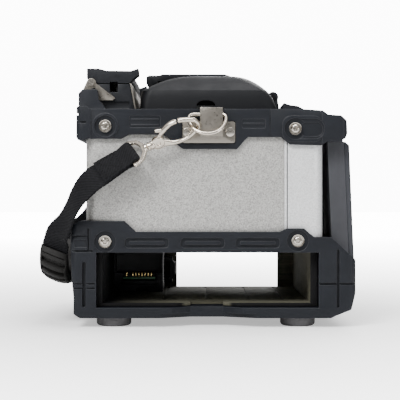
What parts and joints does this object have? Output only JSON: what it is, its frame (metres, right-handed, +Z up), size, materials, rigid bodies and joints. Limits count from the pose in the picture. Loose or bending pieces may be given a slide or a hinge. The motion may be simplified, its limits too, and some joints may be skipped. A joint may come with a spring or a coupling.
{
  "type": "fiber fusion splicer",
  "caption": "Portable fiber fusion splicer with bumper frame, hinged wind cover, tube heater, folded monitor, open battery bay and a carry strap hung on side rings.",
  "frame": {"origin": "centre of the overall box, on the table under the rubber feet", "axes": "+X towards the operator's side where the monitor hangs, +Y along the fibre towards the far side, +Z up"},
  "size_m": [0.1814, 0.169, 0.1489],
  "materials": {
    "bumper_plastic": "fine-textured black bumper plastic",
    "bay_plastic": "olive-black moulded liner",
    "silver_paint": "grey metallic paint with a fine sparkle",
    "light_paint": "light grey satin paint",
    "deck_plastic": "dark moulded deck",
    "foot_rubber": "grey-black rubber",
    "screw_steel": "bright screw steel",
    "black_oxide": "blackened steel",
    "brass": "turned brass",
    "sheet_steel": "satin nickel-plated sheet",
    "connector_plastic": "black connector moulding",
    "board": "green circuit board",
    "gold": "gold-plated contacts",
    "heater_plastic": "dark heat-resistant moulding",
    "heater_alloy": "anodised heating tray",
    "cover_plastic": "smooth dark cover moulding",
    "grip_plastic": "black grip insert",
    "alloy": "machined alloy",
    "ceramic": "cream ceramic",
    "tungsten": "ground tungsten",
    "lens_metal": "black-anodised alloy",
    "key_grey": "soft grey key",
    "key_red": "red key",
    "key_green": "green key",
    "key_orange": "orange key",
    "arc_coil": "brown board with potted coil",
    "monitor_plastic": "satin dark grey moulding",
    "bezel_plastic": "black bezel",
    "screen_glass": "dark glossy screen",
    "wire_chrome": "polished nickel wire",
    "hook_nickel": "polished die-cast nickel",
    "webbing": "black woven nylon webbing",
    "grip_rubber": "ribbed warm-black rubber"
  },
  "bodies": {
    "frame": {"lower_frame": "bumper_plastic", "bay_liner": "bay_plastic", "rear_shell": "silver_paint", "front_shell": "light_paint", "upper_frame": "bumper_plastic", "top_deck": "deck_plastic", "rubber_feet": "foot_rubber", "frame_screws": "screw_steel", "tripod_insert": "brass", "strap_brackets": "sheet_steel", "bracket_screws": "screw_steel", "contact_block": "connector_plastic", "contact_board": "board", "contact_blades": "gold", "heater_housing": "heater_plastic", "heater_brackets": "sheet_steel", "heater_front_plate": "sheet_steel", "heater_tray": "heater_alloy", "heater_pin": "screw_steel", "wind_cover_pin": "black_oxide", "splice_chassis": "alloy", "v_grooves": "ceramic", "electrode_holders": "connector_plastic", "electrodes": "tungsten", "microscopes": "lens_metal", "stage_motors": "lens_metal", "key_console": "deck_plastic", "main_board": "board", "arc_board": "arc_coil", "monitor_pins": "screw_steel"},
    "monitor": {"monitor_shell": "monitor_plastic", "monitor_bezel": "bezel_plastic", "monitor_glass": "screen_glass"},
    "wind_cover": {"wind_cover": "cover_plastic", "wind_cover_grip": "grip_plastic", "fibre_pressers": "alloy"},
    "heater_lid": {"heater_lid": "heater_plastic"},
    "near_stage": {"near_stage": "alloy"},
    "far_stage": {"far_stage": "alloy"},
    "near_clamp": {"near_clamp": "heater_plastic"},
    "far_clamp": {"far_clamp": "heater_plastic"},
    "power_key": {"power_key": "key_red"},
    "reset_key": {"reset_key": "key_grey"},
    "splice_key": {"splice_key": "key_green"},
    "heat_key": {"heat_key": "key_orange"},
    "direction_pad": {"direction_pad": "key_grey"},
    "battery_latch": {"battery_latch": "connector_plastic"},
    "near_d_ring": {"near_d_ring": "wire_chrome"},
    "far_d_ring": {"far_d_ring": "wire_chrome"},
    "carry_strap": {"near_eye": "hook_nickel", "far_eye": "hook_nickel", "near_webbing": "webbing", "far_webbing": "webbing", "strap_grip": "grip_rubber"},
    "near_hook": {"near_hook": "hook_nickel"},
    "far_hook": {"far_hook": "hook_nickel"},
    "near_gate": {"near_gate": "hook_nickel"},
    "far_gate": {"far_gate": "hook_nickel"}
  },
  "joints": [
    {"name": "monitor_tilt", "type": "hinge", "parent": "frame", "child": "monitor", "pos_m": [0.0794, 0, 0.1124], "axis": [0, -1, 0], "range_deg": [0, 120]},
    {"name": "wind_cover_hinge", "type": "hinge", "parent": "frame", "child": "wind_cover", "pos_m": [0.0456, 0, 0.1334], "axis": [0, 1, 0], "range_deg": [0, 90]},
    {"name": "heater_lid_hinge", "type": "hinge", "parent": "frame", "child": "heater_lid", "pos_m": [-0.0605, 0, 0.1393], "axis": [0, -1, 0], "range_deg": [0, 85]},
    {"name": "near_feed", "type": "slide", "parent": "frame", "child": "near_stage", "axis": [0, 1, 0], "range_m": [-0.002, 0.002]},
    {"name": "far_feed", "type": "slide", "parent": "frame", "child": "far_stage", "axis": [0, -1, 0], "range_m": [-0.002, 0.002]},
    {"name": "near_clamp_hinge", "type": "hinge", "parent": "near_stage", "child": "near_clamp", "pos_m": [-0.0059, -0.03, 0.1284], "axis": [0, -1, 0], "range_deg": [0, 60]},
    {"name": "far_clamp_hinge", "type": "hinge", "parent": "far_stage", "child": "far_clamp", "pos_m": [-0.0059, 0.03, 0.1284], "axis": [0, -1, 0], "range_deg": [0, 60]},
    {"name": "power_key_press", "type": "slide", "parent": "frame", "child": "power_key", "axis": [-0.1736, 0, -0.9848], "range_m": [0, 0.001], "stiffness_N_per_m": 400},
    {"name": "reset_key_press", "type": "slide", "parent": "frame", "child": "reset_key", "axis": [-0.1736, 0, -0.9848], "range_m": [0, 0.001], "stiffness_N_per_m": 400},
    {"name": "splice_key_press", "type": "slide", "parent": "frame", "child": "splice_key", "axis": [-0.1736, 0, -0.9848], "range_m": [0, 0.001], "stiffness_N_per_m": 400},
    {"name": "heat_key_press", "type": "slide", "parent": "frame", "child": "heat_key", "axis": [-0.1736, 0, -0.9848], "range_m": [0, 0.001], "stiffness_N_per_m": 400},
    {"name": "direction_pad_press", "type": "slide", "parent": "frame", "child": "direction_pad", "axis": [-0.1736, 0, -0.9848], "range_m": [0, 0.001], "stiffness_N_per_m": 400},
    {"name": "latch_slide", "type": "slide", "parent": "frame", "child": "battery_latch", "axis": [-1, 0, 0], "range_m": [0, 0.003], "stiffness_N_per_m": 300},
    {"name": "near_ring_rock", "type": "hinge", "parent": "frame", "child": "near_d_ring", "pos_m": [0.0062, -0.0716, 0.1202], "axis": [1, 0, 0], "range_deg": [-3, 1.5]},
    {"name": "far_ring_rock", "type": "hinge", "parent": "frame", "child": "far_d_ring", "pos_m": [0.0062, 0.0716, 0.1202], "axis": [-1, 0, 0], "range_deg": [-3, 1.5]},
    {"name": "strap_swing", "type": "hinge", "parent": "frame", "child": "carry_strap", "pos_m": [-0.0028, 0, 0.1131], "axis": [0, 1, 0], "range_deg": [0, 4]},
    {"name": "near_swivel", "type": "hinge", "parent": "carry_strap", "child": "near_hook", "pos_m": [-0.0214, -0.0763, 0.1041], "axis": [0.9178, 0, 0.3972], "range_deg": [-4, 4]},
    {"name": "far_swivel", "type": "hinge", "parent": "carry_strap", "child": "far_hook", "pos_m": [-0.0214, 0.0763, 0.1041], "axis": [-0.9178, 0, -0.3972], "range_deg": [-4, 4]},
    {"name": "near_gate_hinge", "type": "hinge", "parent": "near_hook", "child": "near_gate", "pos_m": [-0.0214, -0.0763, 0.1041], "axis": [-0.2334, 0.809, 0.5394], "range_deg": [0, 18], "stiffness_Nm_per_rad": 0.02, "springref_deg": -11.46},
    {"name": "far_gate_hinge", "type": "hinge", "parent": "far_hook", "child": "far_gate", "pos_m": [-0.0214, 0.0763, 0.1041], "axis": [0.2334, 0.809, -0.5394], "range_deg": [0, 18], "stiffness_Nm_per_rad": 0.02, "springref_deg": -11.46}
  ],
  "couplings": [
    {"joint": "near_clamp_hinge", "follows": "wind_cover_hinge", "ratio": 0.6},
    {"joint": "far_clamp_hinge", "follows": "wind_cover_hinge", "ratio": 0.6}
  ]
}
